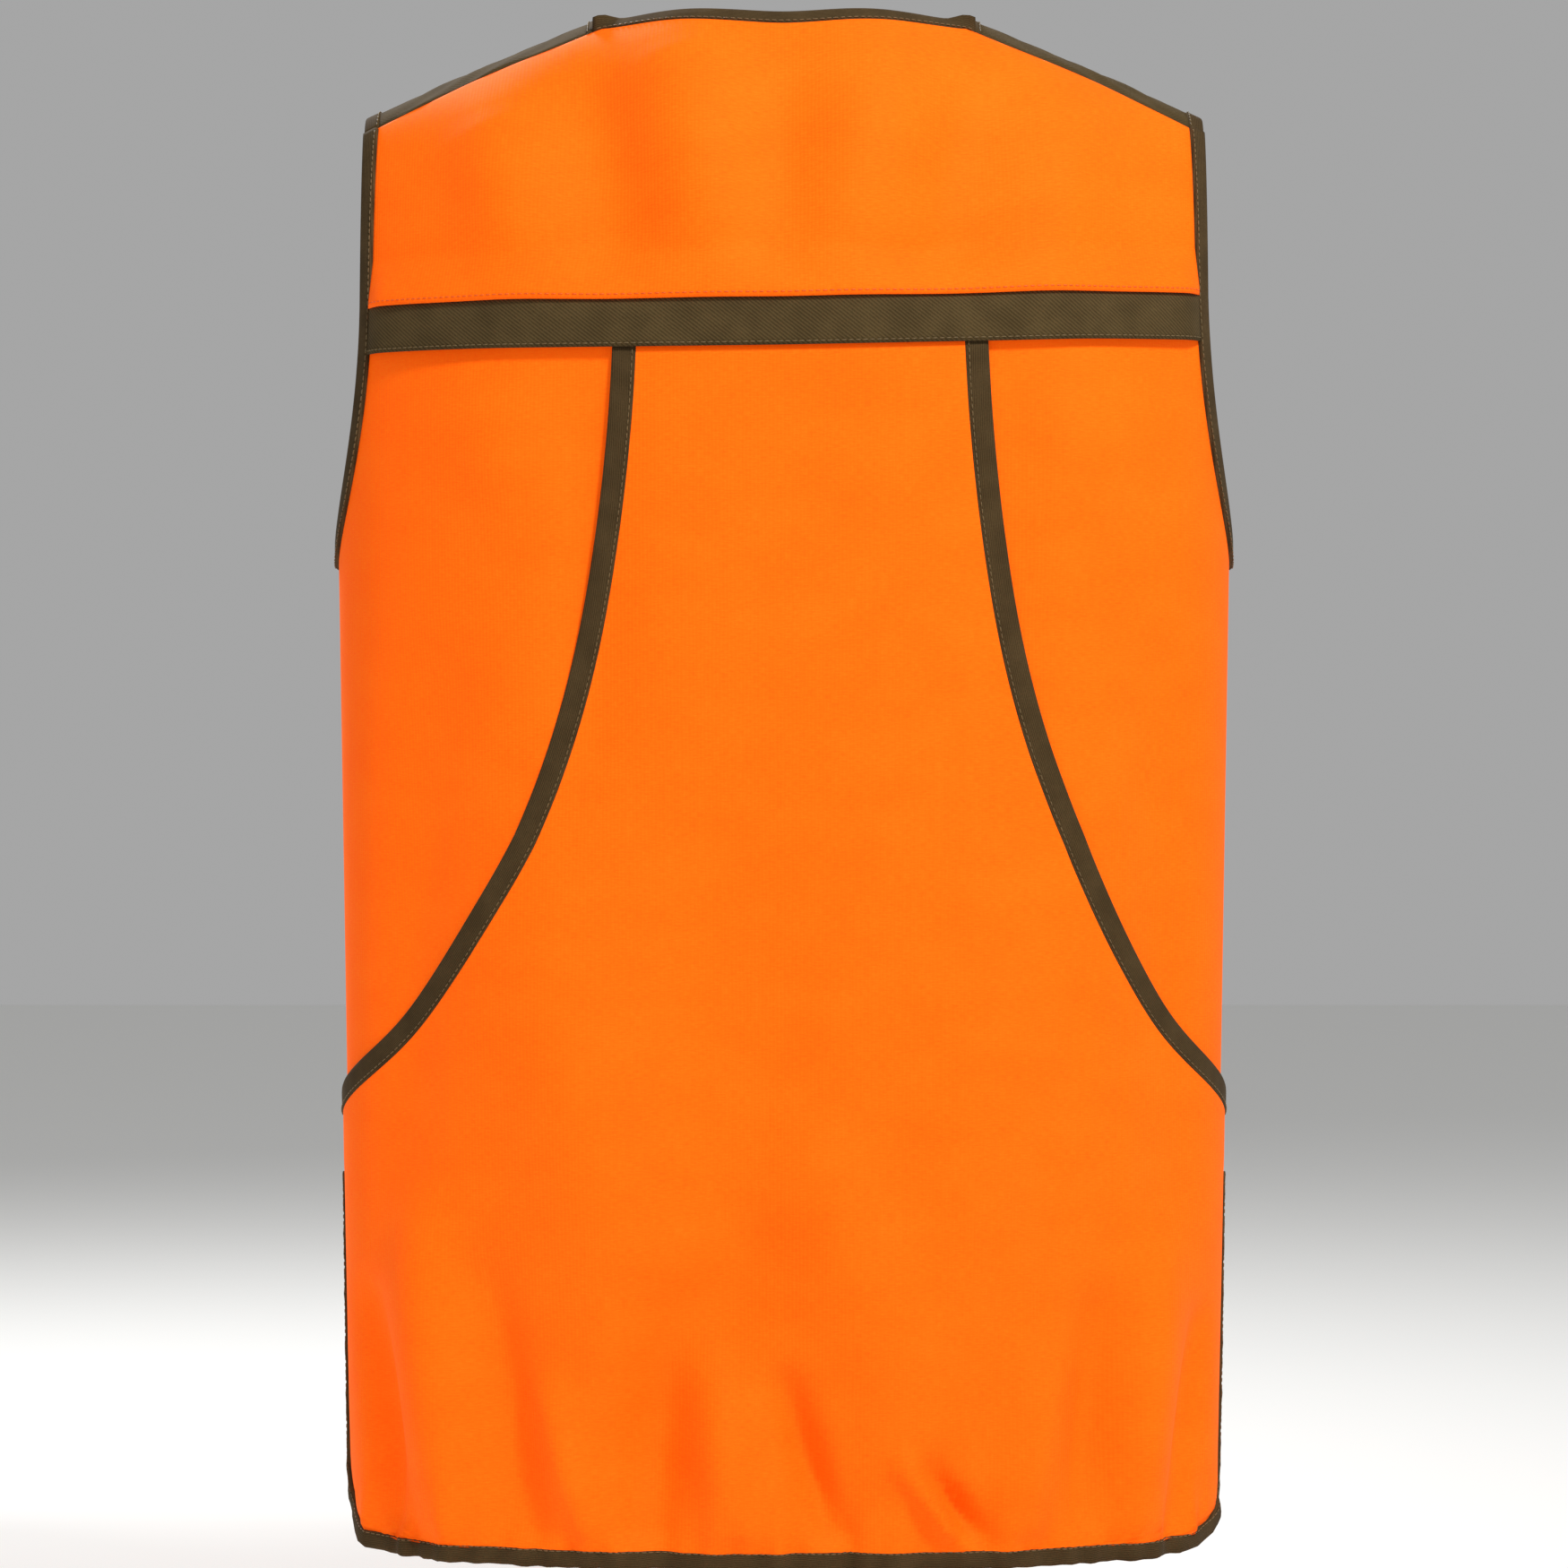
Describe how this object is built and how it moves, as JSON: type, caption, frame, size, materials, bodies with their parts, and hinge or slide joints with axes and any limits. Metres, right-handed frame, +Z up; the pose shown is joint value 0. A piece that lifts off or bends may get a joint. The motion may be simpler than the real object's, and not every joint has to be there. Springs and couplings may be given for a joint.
{
  "type": "blaze orange field vest",
  "caption": "Sleeveless high-visibility field vest with rear game pocket, yoke band, bound edges, side slits, zip front and flapped pockets.",
  "frame": {"origin": "mid-neck, level with the top of the neck binding, where the vest hangs from the shoulders", "axes": "+Z up, wearer faces -Y, +X is the wearer's left"},
  "size_m": [0.4594, 0.2639, 0.769],
  "materials": {
    "orange_cloth": "brushed polyester, blaze orange",
    "olive_twill": "olive brown cotton twill",
    "olive_binding": "folded olive elastic binding tape",
    "zip_tape": "woven polyester zip tape",
    "zip_plastic": "moulded acetal",
    "gunmetal_trim": "gunmetal plated zinc and brass"
  },
  "bodies": {
    "back": {"back_panel": "orange_cloth", "game_pocket_panel": "orange_cloth", "yoke_band": "olive_twill", "back_yoke": "orange_cloth", "neck_binding_back": "olive_binding", "hem_binding_back": "olive_binding", "hanger_loop": "olive_twill", "game_pocket_binding_left": "olive_binding", "armhole_binding_back_left": "olive_binding", "shoulder_yoke_left": "olive_twill", "neck_binding_shoulder_left": "olive_binding", "armhole_binding_shoulder_left": "olive_binding", "game_pocket_binding_right": "olive_binding", "armhole_binding_back_right": "olive_binding", "shoulder_yoke_right": "olive_twill", "neck_binding_shoulder_right": "olive_binding", "armhole_binding_shoulder_right": "olive_binding"},
    "front_left": {"front_panel_left": "orange_cloth", "neck_binding_front_left": "olive_binding", "armhole_binding_front_left": "olive_binding", "hem_binding_front_left": "olive_binding", "zip_tape_left": "zip_tape", "zip_teeth_left": "zip_plastic", "cargo_pocket_left": "orange_cloth", "cargo_stud_post_left": "gunmetal_trim", "zip_retainer_box": "zip_plastic", "zip_top_stop": "gunmetal_trim", "chest_pocket_left": "orange_cloth", "chest_stud_post_left": "gunmetal_trim"},
    "front_right": {"front_panel_right": "orange_cloth", "neck_binding_front_right": "olive_binding", "armhole_binding_front_right": "olive_binding", "hem_binding_front_right": "olive_binding", "zip_tape_right": "zip_tape", "zip_teeth_right": "zip_plastic", "cargo_pocket_right": "orange_cloth", "cargo_stud_post_right": "gunmetal_trim", "zip_pin": "zip_plastic"},
    "slider": {"zip_slider": "gunmetal_trim"},
    "pull_tab": {"zip_pull_tab": "gunmetal_trim"},
    "cargo_flap_left": {"cargo_flap_left": "olive_twill", "cargo_stud_cap_left": "gunmetal_trim"},
    "cargo_flap_right": {"cargo_flap_right": "olive_twill", "cargo_stud_cap_right": "gunmetal_trim"},
    "chest_flap": {"chest_flap_left": "olive_twill", "chest_stud_cap_left": "gunmetal_trim"}
  },
  "joints": [
    {"name": "front_left_open", "type": "hinge", "parent": "back", "child": "front_left", "pos_m": [0.23, 0, -0.5], "axis": [0, 0, 1], "range_deg": [0, 30]},
    {"name": "front_right_open", "type": "hinge", "parent": "back", "child": "front_right", "pos_m": [-0.23, 0, -0.5], "axis": [0, 0, -1], "range_deg": [0, 30]},
    {"name": "zip_slide", "type": "slide", "parent": "front_left", "child": "slider", "axis": [0, 0, -1], "range_m": [0, 0.51]},
    {"name": "pull_tab_swing", "type": "hinge", "parent": "slider", "child": "pull_tab", "pos_m": [0, -0.13079, -0.229], "axis": [-1, 0, 0], "range_deg": [0, 165]},
    {"name": "cargo_flap_left_lift", "type": "hinge", "parent": "front_left", "child": "cargo_flap_left", "pos_m": [0.10757, -0.11761, -0.551], "axis": [-0.9738, -0.2275, 0], "range_deg": [0, 120]},
    {"name": "cargo_flap_right_lift", "type": "hinge", "parent": "front_right", "child": "cargo_flap_right", "pos_m": [-0.10757, -0.11761, -0.551], "axis": [-0.9738, 0.2275, 0], "range_deg": [0, 120]},
    {"name": "chest_flap_lift", "type": "hinge", "parent": "front_left", "child": "chest_flap", "pos_m": [0.10048, -0.11959, -0.256], "axis": [-0.981, -0.1939, 0], "range_deg": [0, 120]}
  ]
}
